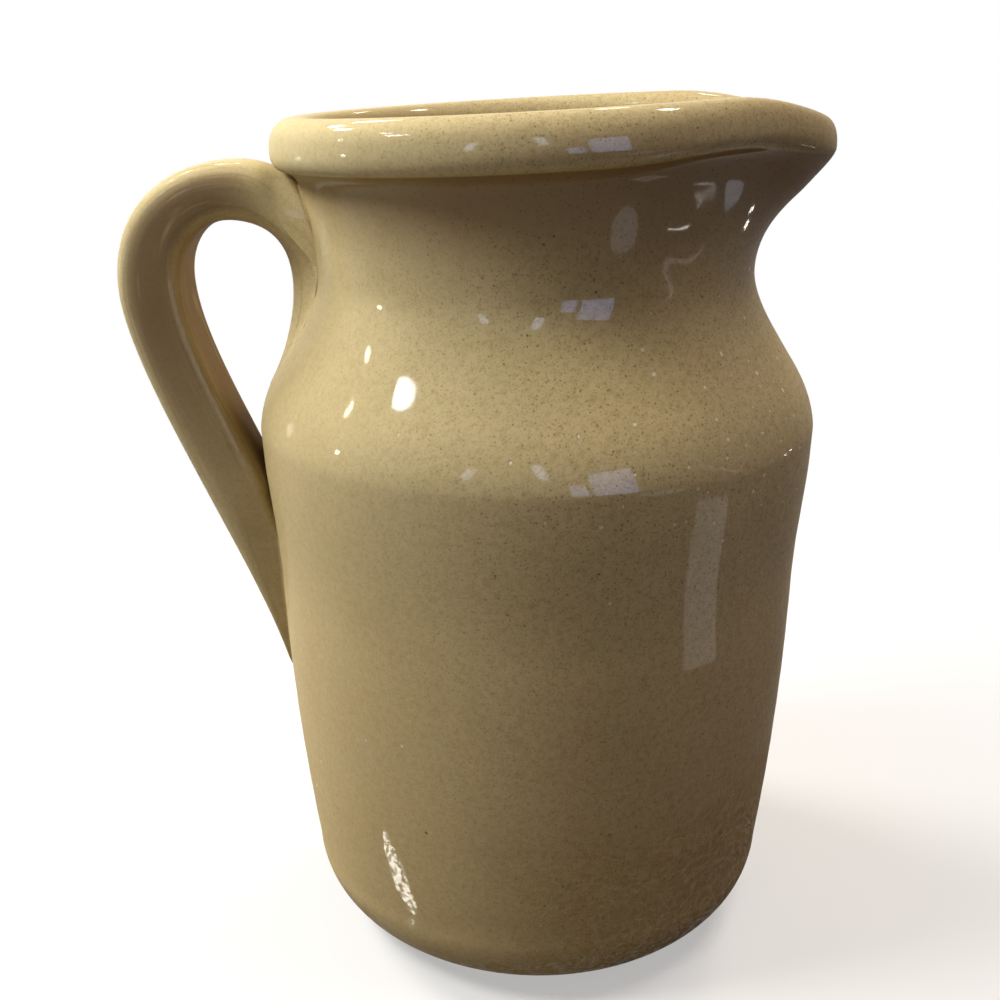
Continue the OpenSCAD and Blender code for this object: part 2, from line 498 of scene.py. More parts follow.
@dataclass(frozen=True)
class Grain:
    """A noise from 0 to 1, with its waves in a metre, the finer waves on top and a number of its own."""

    scale: float
    detail: float
    seed: float
    roughness: float = 0.55

    def on(self, sheet: NodeSheet, at: Wire) -> Wire:
        """Lays the noise on a piece.

        Args:
            sheet: The material's nodes.
            at: Place on the piece.

        Returns:
            The noise there.
        """
        return sheet.node(
            "ShaderNodeTexNoise",
            {"noise_dimensions": "4D"},
            {"Vector": at, "W": self.seed, "Scale": self.scale, "Detail": self.detail, "Roughness": self.roughness},
        )["Fac"]


@dataclass(frozen=True)
class Specks:
    """Round specks, one at most in a cell, with the cells in a metre and the radii as shares of the cell."""

    scale: float
    small: float
    large: float
    core: float = 0.45

    def on(self, sheet: NodeSheet, at: Wire, picked: "Wire | float") -> Wire:
        """Lays the specks on a piece.

        Args:
            sheet: The material's nodes.
            at: Place on the piece.
            picked: Share of the cells that hold a speck.

        Returns:
            1 in the middle of a speck and 0 outside.
        """
        cells = sheet.node("ShaderNodeTexVoronoi", {}, {"Vector": at, "Scale": self.scale, "Randomness": 1.0})
        chance = sheet.node("ShaderNodeSeparateColor", {}, {"Color": cells["Color"]})
        radius = mix(self.small, self.large, chance["Green"])
        return cells["Distance"].step(radius * self.core, radius, 1.0, 0.0) * (chance["Red"] < picked)


@dataclass
class Coat:
    """A glaze while it is laid on: the places and noises that its marks share, and what the shader gets."""

    sheet: NodeSheet
    at: Wire
    x: Wire
    z: Wire
    ragged: Wire
    patch: Wire
    dust: Wire
    colour: Wire
    sheen: Wire
    rough: Wire
    height: Wire

    def tint(self, share: Wire, colour: Colour) -> None:
        """Lays a colour over the others."""
        self.colour = self.sheet.blend(share, self.colour, colour)


@dataclass(frozen=True)
class Glaze:
    """Glossy tan glaze over a body of clay that bleeds iron through it as specks.

    Names that end in x or z are steps along the line from handle to lip or up the pot, in metres. The other
    steps are those of a noise, and where a step lays a colour on, its end is the colour's full share.
    """

    name: str
    pulled: bool = False
    foot: bool = False

    tan: Colour = (0.620, 0.500, 0.262)
    pale: Colour = (0.670, 0.570, 0.320)
    olive: Colour = (0.545, 0.470, 0.235)
    low: Colour = (0.580, 0.428, 0.200)
    # Darker brown for clouds, streaks and thinned glaze, and for painted shade under the rim and on the handle.
    thin_and_shade: Colour = (0.330, 0.225, 0.108)
    rust: Colour = (0.150, 0.085, 0.040)
    iron: Colour = (0.075, 0.038, 0.018)
    # Whitish colour of the pinholes, a painted glint.
    pinhole_glint: Colour = (0.900, 0.800, 0.640)
    clay: Colour = (0.520, 0.390, 0.260)

    gloss: float = 0.05
    coat_ior: float = 1.5
    sheen: float = 0.29
    dusty_sheen: Step = Step(0.62, 0.36, 0.62, 1.0)
    rough: float = 0.30
    patch_rough: float = 0.15
    ripple_grain: Grain = Grain(330.0, 2.0, 9.0)
    ripple_depth: float = 0.00003

    broad_grain: Grain = Grain(11.0, 1.0, 3.0)
    broad: Step = Step(0.32, 0.68)
    calm_x: Step = Step(-0.065, 0.015, 0.45, 1.0)
    low_z: Step = Step(0.15, 0.06, 0.0, 0.65)
    lip_x: Step = Step(0.01, 0.075)
    lip_patch: Step = Step(0.2, 0.6, 0.12, 0.32)
    cloud_grain: Grain = Grain(150.0, 3.0, 8.0)
    cloud: Step = Step(0.42, 0.62, 0.0, 0.36)
    patch_grain: Grain = Grain(46.0, 3.0, 7.0)
    patch: Step = Step(0.50, 0.85, 0.0, 0.22)
    mottle_grain: Grain = Grain(640.0, 3.0, 1.0)
    mottle: Step = Step(0.45, 0.72, 0.0, 0.32)
    gleam: Step = Step(0.50, 0.25, 0.0, 0.34)
    dust_grain: Grain = Grain(1900.0, 2.0, 6.0)
    dust: Step = Step(0.46, 0.70, 0.0, 0.46)

    ragged_scale: float = 1500.0
    ragged_reach: float = 0.0005
    crowd_grain: Grain = Grain(24.0, 2.0, 5.0)
    speck_x: Step = Step(-0.06, 0.005, 0.14, 1.0)
    speck_z: Step = Step(0.09, 0.15, 0.70, 1.0)
    fine: Specks = Specks(1050.0, 0.16, 0.40)
    fine_crowd: Step = Step(0.3, 0.7, 0.55, 0.95)
    fine_share: float = 0.50
    dots: Specks = Specks(430.0, 0.05, 0.19)
    dot_crowd: Step = Step(0.3, 0.7, 0.20, 0.75)
    dot_share: float = 0.75
    dot_dull: float = 0.5
    flecks: Specks = Specks(100.0, 0.03, 0.08)
    fleck_chance: float = 0.05
    fleck_share: float = 0.80

    pits_and_glints: Specks = Specks(400.0, 0.18, 0.33)
    pit_x: Step = Step(-0.01, 0.04)
    pit_low_z: Step = Step(0.125, 0.150)
    pit_high_z: Step = Step(0.205, 0.180)
    pit_chance: float = 0.004
    pit_crowd: float = 0.20
    pit_glint_share: float = 0.8
    pit_depth: float = 0.00012
    peel_grain: Grain = Grain(620.0, 3.0, 4.0)
    peel: Step = Step(0.46, 0.53)
    peel_z: Step = Step(0.070, 0.045)
    peel_depth: float = 0.000012
    peel_dull: float = 0.9
    dull_lip_x: Step = Step(0.040, 0.064, 1.0, 0.45)
    dull_back_x: Step = Step(-0.066, -0.040, 0.5, 1.0)
    bare_z: Step = Step(0.0022, 0.0010)
    bare_rough: float = 0.4

    streak_grain: Grain = Grain(620.0, 2.0, 2.0)
    dark_streak: Step = Step(0.52, 0.75, 0.0, 0.28)
    pale_streak: Step = Step(0.44, 0.25, 0.0, 0.40)
    streak_depth: float = 0.00014

    def first_coat(self, sheet: NodeSheet) -> Coat:
        """Lays on the plain tan.

        Args:
            sheet: The material's nodes.

        Returns:
            The coat, for the marks to come.
        """
        at = sheet.node("ShaderNodeTexCoord", {}, {})["Object"]
        place = sheet.node("ShaderNodeSeparateXYZ", {}, {"Vector": at})
        patch, dust = self.patch_grain.on(sheet, at), self.dust_grain.on(sheet, at)
        return Coat(
            sheet=sheet,
            at=at,
            x=place["X"],
            z=place["Z"],
            ragged=sheet.ragged(at, self.ragged_scale, self.ragged_reach),
            patch=patch,
            dust=dust,
            colour=sheet.blend(self.broad.of(self.broad_grain.on(sheet, at)), self.tan, self.pale),
            sheen=self.sheen * self.dusty_sheen.of(dust),
            rough=self.rough + self.patch_rough * patch,
            height=self.ripple_depth * self.ripple_grain.on(sheet, at),
        )

    def lay_clouds(self, coat: Coat) -> None:
        """Clouds the coat, less on the handle's side. On the body it turns warmer and darker towards the bottom and
        browner in patches towards the lip. Last it lays on each point's darker colour: painted shade under the rim
        and on the handle's near side and underside, and glaze thinned on the rim's crest and the handle's far side.

        Args:
            coat: The coat, which is changed.
        """
        calm = self.calm_x.of(coat.x)
        mottle = self.mottle_grain.on(coat.sheet, coat.at)
        if self.foot:
            coat.tint(self.low_z.of(coat.z), self.low)
            coat.tint(self.lip_x.of(coat.x) * self.lip_patch.of(coat.patch), self.thin_and_shade)
        coat.tint(calm * self.cloud.of(self.cloud_grain.on(coat.sheet, coat.at)), self.olive)
        coat.tint(self.patch.of(coat.patch), self.thin_and_shade)
        coat.tint(calm * self.mottle.of(mottle), self.thin_and_shade)
        coat.tint(calm * self.dust.of(coat.dust), self.thin_and_shade)
        coat.tint(self.gleam.of(mottle), self.pale)
        # Each point's darker colour: painted shade under the rim and on the handle's near side and underside, glaze
        # thinned on the rim's crest and the handle's far side.
        coat.tint(coat.sheet.node("ShaderNodeAttribute", {"attribute_name": "thin_and_shade"}, {})["Fac"], self.thin_and_shade)

    def lay_specks(self, coat: Coat) -> None:
        """Bleeds iron through the coat, less on the handle's side and low down.

        Args:
            coat: The coat, which is changed.
        """
        crowd = self.crowd_grain.on(coat.sheet, coat.at)
        fine = self.fine.on(coat.sheet, coat.ragged, self.fine_crowd.of(crowd))
        dots = self.dots.on(coat.sheet, coat.ragged, self.dot_crowd.of(crowd))
        flecks = self.flecks.on(coat.sheet, coat.ragged, self.fleck_chance)
        shown = self.speck_z.of(coat.z) * self.speck_x.of(coat.x)
        coat.tint(shown * fine * self.fine_share, self.rust)
        coat.tint(shown * dots * self.dot_share, self.rust)
        coat.tint(flecks * self.fleck_share, self.iron)
        coat.sheen = coat.sheen * (1.0 - self.dot_dull * dots)

    def lay_body_marks(self, coat: Coat) -> None:
        """Pits the lip's shoulder with pinholes whose whitish colour is a painted glint, peels the gloss low down
        and bares the clay under the foot.

        Args:
            coat: The coat, which is changed.
        """
        pitted = self.pit_x.of(coat.x) * self.pit_low_z.of(coat.z) * self.pit_high_z.of(coat.z)
        pits_and_glints = self.pits_and_glints.on(coat.sheet, coat.ragged, self.pit_chance + self.pit_crowd * pitted)
        peel = self.peel_z.of(coat.z) * self.peel.of(self.peel_grain.on(coat.sheet, coat.at))
        bare = self.bare_z.of(coat.z)
        # The pinholes are real dents; their whitish colour is a painted glint.
        coat.tint(pits_and_glints * self.pit_glint_share, self.pinhole_glint)
        coat.tint(bare, self.clay)
        coat.height = coat.height - self.pit_depth * pits_and_glints + self.peel_depth * peel
        coat.sheen = coat.sheen * (1.0 - self.peel_dull * peel) * (1.0 - bare)
        coat.sheen = coat.sheen * self.dull_lip_x.of(coat.x) * self.dull_back_x.of(coat.x)
        coat.rough = coat.rough + self.bare_rough * bare

    def lay_streaks(self, coat: Coat) -> None:
        """Streaks the coat along the pulled strap.

        Args:
            coat: The coat, which is changed.
        """
        along = coat.sheet.node("ShaderNodeAttribute", {"attribute_name": "pulled"}, {})["Vector"]
        streak = self.streak_grain.on(coat.sheet, along)
        coat.tint(self.dark_streak.of(streak), self.thin_and_shade)
        coat.tint(self.pale_streak.of(streak), self.pale)
        coat.height = coat.height + self.streak_depth * streak

    def material(self) -> bpy.types.Material:
        """Builds the node material.

        Returns:
            The material.
        """
        made = bpy.data.materials.new(self.name)
        made.use_nodes = True
        sheet = NodeSheet(made.node_tree)
        coat = self.first_coat(sheet)
        self.lay_clouds(coat)
        self.lay_specks(coat)
        if self.foot:
            self.lay_body_marks(coat)
        if self.pulled:
            self.lay_streaks(coat)
        bump = sheet.node("ShaderNodeBump", {}, {"Strength": 1.0, "Distance": 1.0, "Height": coat.height})
        shader = sheet.node(
            "ShaderNodeBsdfPrincipled",
            {},
            {
                "Base Color": coat.colour,
                "Roughness": coat.rough,
                "Specular IOR Level": 0.0,
                "Coat Weight": coat.sheen,
                "Coat Roughness": self.gloss,
                "Coat IOR": self.coat_ior,
                "Normal": bump["Normal"],
            },
        )
        sheet.node("ShaderNodeOutputMaterial", {}, {"Surface": shader["BSDF"]})
        return made


def set_points(piece: bpy.types.Object, name: str, kind: str, values: Sequence[Any]) -> None:
    """Writes a value for each point of a piece.

    Args:
        piece: The piece.
        name: Name of the attribute.
        kind: FLOAT or FLOAT_VECTOR.
        values: One number or vector for each point.
    """
    layer = piece.data.attributes.new(name, kind, "POINT")
    if kind == "FLOAT":
        layer.data.foreach_set("value", values)
    else:
        layer.data.foreach_set("vector", [number for value in values for number in value])


@dataclass
class ThrownBody:
    """The body, thrown in one piece: floor, wall, neck, rolled rim and the lip pulled out of it."""

    shape: PotShape
    turns: int = 256
    corner_steps: int = 26
    wall_steps: int = 66
    shoulder_steps: int = 44
    throat_steps: int = 26
    roll_steps: int = 46
    inner_steps: int = 40
    inner_corner_steps: int = 10
    inner_floor: tuple[float, ...] = (0.66, 0.33, 0.0)
    crease: float = math.radians(45)

    dish: float = 0.0008
    foot_ring: tuple[Pair, ...] = ((0.0, 1.0), (0.5, 1.0), (0.80, 0.8), (0.88, 0.15), (0.93, 0.0))
    ledge: float = 0.0011
    ledge_from: float = 0.7
    relax_passes: int = 8
    relax_reach: int = 4

    noise_rise: float = 14.0
    wobble_depth: float = 0.00016
    wobble_scale: float = 1.3
    knock_depth: float = 0.00005
    knock_scale: float = 4.1
    wave_depth: float = 0.000014
    wave_scale: float = 9.0
    ridge_depth: float = 0.00006
    ridge_rise: float = 0.0006
    ridge_w: float = 0.0017
    ridge_reach: float = 7.0
    groove_depth: float = 0.00016
    groove_z: float = 0.167
    groove_w: float = 0.006
    ring_depth: float = 0.00002
    ring_pitch: float = 0.0115
    ring_drift: float = 2.0
    true_z: float = 0.004
    true_run: float = 0.02
    dent_depth: float = 0.0012
    dent_at: float = math.radians(57)
    dent_z: float = 0.199
    dent_r: float = 0.0095

    # Painted shade under the rim's overhang, lighter towards the handle's side.
    under_shade: float = 0.95
    under_run: float = 0.75
    under_end: float = 0.05
    under_back: float = 0.55
    under_back_x: float = -0.055
    under_back_run: float = 0.04
    # Glaze thinned along the rim's crest.
    crest_thin: float = 0.14
    crest_at: float = 0.78
    crest_w: float = 0.13
    crest_ends: Pair = (0.3, 1.3)

    def lower_line(self) -> list[Pair]:
        """Outline outside, from the middle of the foot up to the neck's waist.

        Returns:
            Its points as radius and height.
        """
        s = self.shape
        line: list[Pair] = [(s.foot_r * out, self.dish * up) for out, up in self.foot_ring]
        for i in range(self.corner_steps):
            z = s.corner_h * (1 - math.cos(math.pi / 2 * i / self.corner_steps))
            line.append((s.radius(z), z))
        for i in range(self.wall_steps):
            z = mix(s.corner_h, s.shoulder_z, i / self.wall_steps)
            line.append((s.radius(z), z))
        for i in range(self.shoulder_steps):
            z = mix(s.shoulder_z, s.neck_z, i / self.shoulder_steps)
            line.append((s.radius(z), z))
        return line

    def collar_lines(self) -> tuple[list[Vector], list[Vector]]:
        """Outlines of the throat and the rolled rim, away from the lip and at the lip.

        Returns:
            Two lists of points as radius and height, from the waist outside to the waist inside.
        """
        s = self.shape
        inner_neck, inner_rim = s.neck_r - s.wall_t, s.rim_r - s.rim_t
        lip_low = Vector((s.rim_r + s.lip_reach - s.lip_edge, s.rim_z - s.lip_droop))
        slope = Vector((math.cos(s.throat_slope), math.sin(s.throat_slope)))
        throat = [
            Vector((s.neck_r, s.neck_z)),
            Vector((s.neck_r, (s.neck_z + lip_low.y) / 2)),
            lip_low - s.throat_run * slope,
            lip_low,
        ]
        shift = Vector((s.lip_reach, -s.lip_droop))
        plain: list[Vector] = []
        lip: list[Vector] = []
        for i in range(self.throat_steps + 1):
            u = i / self.throat_steps
            z = mix(s.neck_z, s.rim_z, u)
            plain.append(Vector((s.radius(z), z)))
            set_in = self.ledge * smooth((u - self.ledge_from) / (1 - self.ledge_from))
            lip.append(bezier(throat, u) - Vector((set_in, 0.0)))
        for i in range(self.roll_steps + 1):
            u = i / self.roll_steps
            plain.append(s.roll(s.roll_start, u))
            lip.append(s.roll(s.lip_start, u) + shift)
        for i in range(1, self.throat_steps + 1):
            u = 1 - i / self.throat_steps
            z = mix(s.neck_z, s.roll_middle.y, u)
            plain.append(Vector((mix(inner_neck, inner_rim, smooth(u)), z)))
            lip_z = mix(s.neck_z, s.roll_middle.y - s.lip_droop, u)
            lip.append(Vector((mix(inner_neck, inner_rim + s.lip_reach, u ** s.throat_rate), lip_z)))
        return self.relaxed(plain), self.relaxed(lip)

    def relaxed(self, line: list[Vector]) -> list[Vector]:
        """Rounds the corner where the throat meets the rim.

        Args:
            line: Outline of the collar.

        Returns:
            The outline with its corner eased.
        """
        first, end = self.throat_steps - self.relax_reach, self.throat_steps + self.relax_reach + 1
        for _ in range(self.relax_passes):
            eased = [(line[i - 1] + line[i] * 2 + line[i + 1]) / 4 for i in range(first, end)]
            line = line[:first] + eased + line[end:]
        return line

    def inner_line(self) -> list[Pair]:
        """Outline inside, from the waist down to the middle of the floor.

        Returns:
            Its points as radius and height.
        """
        s = self.shape
        line: list[Pair] = []
        foot_z = s.floor_t + s.inner_corner
        foot_r = s.radius(foot_z) - s.wall_t - s.inner_corner
        for i in range(1, self.inner_steps):
            z = mix(s.neck_z, foot_z, i / self.inner_steps)
            line.append((s.radius(z) - s.wall_t, z))
        for i in range(self.inner_corner_steps + 1):
            a = math.pi / 2 * i / self.inner_corner_steps
            line.append((foot_r + s.inner_corner * math.cos(a), foot_z - s.inner_corner * math.sin(a)))
        return line + [(foot_r * share, s.floor_t) for share in self.inner_floor]

    def hollow(self, angle: float, z: float) -> float:
        """How far the hand-made wall lies inside its true outline.

        Args:
            angle: Direction from the axis.
            z: Height above the foot.

        Returns:
            The depth, never below 0.
        """
        s = self.shape
        at = Vector((math.cos(angle), math.sin(angle), z * self.noise_rise))
        wobble = self.wobble_depth * (0.5 + 0.5 * noise.noise(at * self.wobble_scale))
        wobble += self.knock_depth * (1 + noise.noise(at * self.knock_scale))
        wobble += self.wave_depth * (1 + noise.noise(at * self.wave_scale))
        up = (z - s.shoulder_z - self.ridge_rise) / self.ridge_w
        ridge = self.ridge_depth * (1 - bell(up)) * bell(up / self.ridge_reach)
        turned = 2 * math.pi * z / self.ring_pitch + self.ring_drift * noise.noise(at)
        rings = self.ring_depth * (1 + math.sin(turned))
        fade = smooth((z - self.true_z) / self.true_run) * (1 - s.throat_share(z))
        groove = self.groove_depth * bell((z - self.groove_z) / self.groove_w)
        aside = (abs(angle) - self.dent_at) * s.neck_r / self.dent_r
        dent = self.dent_depth * bell(aside) * bell((z - self.dent_z) / self.dent_r)
        return (wobble + ridge + groove + rings) * fade + dent

    def thinning_and_shade(self, past: int, x: float) -> float:
        """How far the colour darkens: painted shade under the rim's overhang, lighter on the handle's side, and
        glaze thinned along the rim's crest.

        Args:
            past: Number of points past the start of the roll, below 0 before it.
            x: Place on the line from handle to lip.

        Returns:
            The share of the darker colour there.
        """
        round_roll = past / self.roll_steps
        thin_and_shade = 0.0
        # Painted shade under the rim's overhang, lighter on the handle's side.
        if round_roll < self.under_end:
            thin_and_shade = self.under_shade * bell(past / (self.under_run * self.throat_steps))
            thin_and_shade *= mix(self.under_back, 1.0, smooth((x - self.under_back_x) / self.under_back_run))
        # Glaze thinned along the rim's crest.
        if self.crest_ends[0] < round_roll < self.crest_ends[1]:
            thin_and_shade += self.crest_thin * bell((round_roll - self.crest_at) / self.crest_w)
        return thin_and_shade

    def spun(self, line: Sequence[Pair]) -> bpy.types.Object:
        """Draws an outline and spins it round the axis.

        Args:
            line: The outline's points as radius and height.

        Returns:
            The piece, still true to the outline all round.
        """
        piece = Bench.start("thrown_body", bpy.ops.mesh.primitive_plane_add, size=0.001)
        bpy.ops.mesh.merge(type="CENTER")
        at = Vector((0.0, 0.0, 0.0))
        for number, (r, z) in enumerate(line):
            step = Vector((r, 0.0, z)) - at
            if number:
                bpy.ops.mesh.extrude_vertices_move(TRANSFORM_OT_translate={"value": step})
            else:
                bpy.ops.transform.translate(value=step)
            at += step
        bpy.ops.mesh.select_all(action="SELECT")
        bpy.ops.mesh.spin(steps=self.turns, angle=2 * math.pi, center=(0, 0, 0), axis=(0, 0, 1))
        Bench.close(self.crease)
        return piece

    def build(self) -> bpy.types.Object:
        """Spins the pot, pulls the lip out of the rim and roughens the wall by hand.

        Returns:
            The piece.
        """
        s = self.shape
        plain, lip = self.collar_lines()
        lower = self.lower_line()
        line = lower + [(p.x, p.y) for p in plain] + self.inner_line()
        piece = self.spun(line)
        tree = kdtree.KDTree(len(line))
        for number, (r, z) in enumerate(line):
            tree.insert((r, 0.0, z), number)
        tree.balance()
        roll_first = len(lower) + self.throat_steps + 1
        thin_and_shade: list[float] = []
        for v in piece.data.vertices:
            angle = math.atan2(v.co.y, v.co.x)
            r, z = math.hypot(v.co.x, v.co.y), v.co.z
            number = tree.find((r, 0.0, z))[1]
            step = number - len(lower)
            if 0 <= step < len(plain):
                p = mix(plain[step], lip[step], s.lip_share(abs(angle)))
                r, z = p.x, p.y
                x = r * math.cos(angle)
                z += s.slant_lift(x, p.y) + s.pinch_lift(abs(angle), p.y)
            if step < self.throat_steps:
                r -= self.hollow(angle, z)
            v.co = (r * math.cos(angle), r * math.sin(angle), z)
            thin_and_shade.append(self.thinning_and_shade(number - roll_first, v.co.x))
        # Share of the darker colour: painted shade under the rim, glaze thinned on its crest.
        set_points(piece, "thin_and_shade", "FLOAT", thin_and_shade)
        return piece

    def dress(self, piece: bpy.types.Object) -> None:
        """Glazes the piece and puts it on the frame.

        Args:
            piece: The piece from build.
        """
        piece.data.materials.append(Glaze("body_glaze", foot=True).material())
        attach(piece, "root")
        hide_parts("body")


@dataclass
class StrapHandle:
    """The pulled strap, wiped out over the neck at its root and tapered to a tail on the wall."""

    shape: PotShape
    finger_gap: float = 0.0174
    strap_t: float = 0.018
    strap_w: float = 0.022
    strap_square: float = 3.1
    inner_square: float = 5.0
    flutes: int = 6
    flute_depth: float = 0.004
    flute_turn: float = 0.8
    crown_z: float = 0.185
    arch_z: float = 0.201
    root_tuck: float = 0.0035
    root_low_z: float = 0.155
    root_w: float = 0.030
    root_t: float = 0.0027
    root_share: float = 0.26
    root_rise: float = 0.5
    wipe_z: float = 0.203
    wipe_run: float = 0.016
    wipe_middle: float = 0.1
    wipe_fade: float = 0.75
    meet_z: float = 0.131
    tail_z: float = 0.066
    tail_w: float = 0.010
    tail_share: float = 0.5
    tail_taper: float = 1.5
    tip_from: float = 0.79
    tip_to: float = 0.945
    tip_round: float = 0.96
    tip_sink: float = 1.2
    tip_sink_from: float = 0.8
    bed_share: float = 0.286
    sunk: float = 0.0006

    root_lead: Pair = (0.018, 0.014)
    crown_lead: float = 0.029
    fall_lead: float = 0.027
    tail_lead: Pair = (0.0045, 0.033)
    wipe_lead: float = 0.023
    arch_run: float = 0.022
    arch_lead: float = 0.0065
    bend_lead: float = 0.010
    inner_fall_lead: float = 0.014
    meet_lead: Pair = (0.008, 0.019)

    points: int = 64
    bed_rings: int = 8
    root_rings: int = 34
    bend_rings: int = 26
    fall_rings: int = 28
    tail_rings: int = 46
    ease_passes: int = 10
    ease_share: float = 0.5
    ease_off: float = 0.0008
    ease_run: float = 0.002
    crease: float = math.radians(50)

    stroke_squeeze: float = 0.05
    # The strap's darker colour: painted shade on the near side and on the underside facing the wall, glaze thinned
    # on the far side.
    darken_from: float = 0.55
    darken_run: float = 0.8
    near_shade: Pair = (0.30, 0.85)
    near_z: float = 0.11
    near_run: float = 0.07
    near_edge: float = 5.0
    far_thin: float = 0.4
    far_edge: float = 4.0
    under_shade: float = 0.85
    under_edge: float = 1.5

    def __post_init__(self) -> None:
        """Works out the curves of the strap's two edges, as radius and height.

        A lead is how far a curve keeps to the direction in which it starts or ends.
        """
        s = self.shape
        strap_in = s.top_r + self.finger_gap
        top_z = s.rim_z + s.slant_lift(-s.neck_top_r, s.rim_z) - self.root_tuck
        top = Vector((s.radius(top_z), top_z))
        low = Vector((s.radius(self.root_low_z), self.root_low_z))
        arch = Vector((s.neck_r + self.arch_run, self.arch_z))
        meet = Vector((s.radius(self.meet_z), self.meet_z))
        tail = Vector((s.radius(self.tail_z), self.tail_z))
        crown_in = Vector((strap_in, self.crown_z))
        crown_out = Vector((strap_in + self.strap_t, self.crown_z))
        wiped = s.neck_r + self.root_t
        wiped_low = Vector((wiped, self.root_low_z + self.wipe_lead))
        out, up = Vector((1.0, 0.0)), Vector((0.0, 1.0))
        self.root_middle = (low + top) / 2
        self.outer_top = [top, top + Vector(self.root_lead), crown_out + self.crown_lead * up, crown_out]
        self.outer_fall = [crown_out, crown_out - self.fall_lead * up, tail + Vector(self.tail_lead), tail]
        self.inner_root = [low, wiped_low, Vector((wiped, self.arch_z)), arch]
        self.inner_bend = [arch, arch + self.arch_lead * out, crown_in + self.bend_lead * up, crown_in]
        self.inner_fall = [crown_in, crown_in - self.inner_fall_lead * up, meet + Vector(self.meet_lead), meet]
        self.angles = [2 * math.pi * (k + 0.5) / self.points for k in range(self.points)]

    def section(self, inner: Vector, outer: Vector, width: float, crisp: float = 0.0) -> Ring:
        """One ring of the strap between its two edges.

        Args:
            inner: Point of the inner edge, as radius and height.
            outer: Point of the outer edge.
            width: The strap's width there.
            crisp: How far the inner corners are squared, from 0 to 1.

        Returns:
            The ring's points.
        """
        ring: Ring = []
        inner_square = mix(self.strap_square, self.inner_square, crisp)
        for a in self.angles:
            along, across = rounded(a, self.strap_square if math.cos(a) > 0 else inner_square)
            ease = 1 - self.flute_depth * (1 + math.sin(self.flutes * a + self.flute_turn))
            p = (inner + outer) / 2 + along * ease * (outer - inner) / 2
            ring.append(Vector((-p.x, across * ease * width / 2, p.y)))
        return ring

    def root_section(self, f: float) -> Ring:
        """Plain ring of the upper root at a share of its way out."""
        width = mix(self.root_w, self.strap_w, smooth(f / self.root_rise))
        return self.section(bezier(self.inner_root, f), bezier(self.outer_top, f * self.root_share), width)

    def root_ring(self, f: float) -> Ring:
        """Ring of the upper root whose sides run out into the neck.

        Args:
            f: Share of the way from the neck to the arch.

        Returns:
            The ring's points.
        """
        ring: Ring = []
        for a, raw in zip(self.angles, self.root_section(f)):
            rise = mix(1.0, smooth(f / self.root_rise), abs(math.sin(a)))
            on = self.shape.land(raw, -self.sunk)
            p = mix(on, self.shape.clear(raw, -self.sunk), rise) if f else on
            ring.append(self.wiped(p, math.cos(a)))
        return ring

    def wiped(self, p: Vector, facing: float) -> Vector:
        """A place of the root, wiped down towards the neck below the arch.

        Args:
            p: The place.
            facing: How far it faces outwards, from -1 on the inner edge to 1 on the outer edge.

        Returns:
            The place after wiping.
        """
        up = self.shape.offset(p)
        if up <= 0 or facing >= 0:
            return p
        low = smooth((self.wipe_z - p.z) / self.wipe_run)
        middle = 1 - smooth((abs(p.y) / (self.root_w / 2) - self.wipe_middle) / self.wipe_fade)
        return self.shape.land(p, mix(up, up * middle - self.sunk * (1 - middle), low))

    def tail_ring(self, f: float) -> Ring:
        """Ring of the tail, whose underside comes down onto the wall.

        Args:
            f: Share of the way from the place where the strap meets the wall to the tail's end.

        Returns:
            The ring's points.
        """
        s = self.shape
        z = mix(self.meet_z, self.tail_z, f)
        tip = min(1.0, max(0.0, (f - self.tip_from) / (self.tip_to - self.tip_from)))
        width = mix(self.strap_w, self.tail_w, f ** self.tail_taper) * math.sqrt(1 - self.tip_round * tip * tip)
        bedded = smooth(f / self.bed_share)
        inner = Vector((s.radius(z) - self.sunk * bedded, z))
        sink = self.tip_sink * self.sunk * smooth((f - self.tip_sink_from) / (1 - self.tip_sink_from))
        outer = bezier(self.outer_fall, mix(self.tail_share, 1.0, f)) - Vector((sink, 0.0))
        raw_ring = self.section(inner, outer, width, 1 - bedded)
        ring: Ring = []
        for a, raw in zip(self.angles, raw_ring):
            near = s.clear(raw, -self.sunk)
            if math.cos(a) < 0:
                near = mix(near, s.land(raw, -self.sunk), bedded)
            ring.append(near)
        return ring

    def rings(self) -> list[Ring]:
        """All rings of the handle, from the bed on the neck to the tail's end.

        Returns:
            The rings, with the numbers of the first on the root and on the tail kept for the joints' edges.
        """
        middle = Vector((-self.root_middle.x, 0.0, self.root_middle.y))
        rings: list[Ring] = []
        for i in range(1, self.bed_rings):
            share = i / self.bed_rings
            rings.append([self.shape.land(mix(middle, p, share), -2 * self.sunk) for p in self.root_section(0)])
        self.root_first = len(rings)
        rings += [self.root_ring(i / self.root_rings) for i in range(self.root_rings + 1)]
        for i in range(1, self.bend_rings + 1):
            f = i / self.bend_rings
            outer = bezier(self.outer_top, mix(self.root_share, 1.0, f))
            rings.append(self.section(bezier(self.inner_bend, f), outer, self.strap_w, smooth(f)))
        for i in range(1, self.fall_rings + 1):
            f = i / self.fall_rings
            outer = bezier(self.outer_fall, f * self.tail_share)
            rings.append(self.section(bezier(self.inner_fall, f), outer, self.strap_w, 1.0))
        self.tail_first = len(rings)
        self.ease(rings)
        rings += [self.tail_ring(i / self.tail_rings) for i in range(1, self.tail_rings + 1)]
        return rings

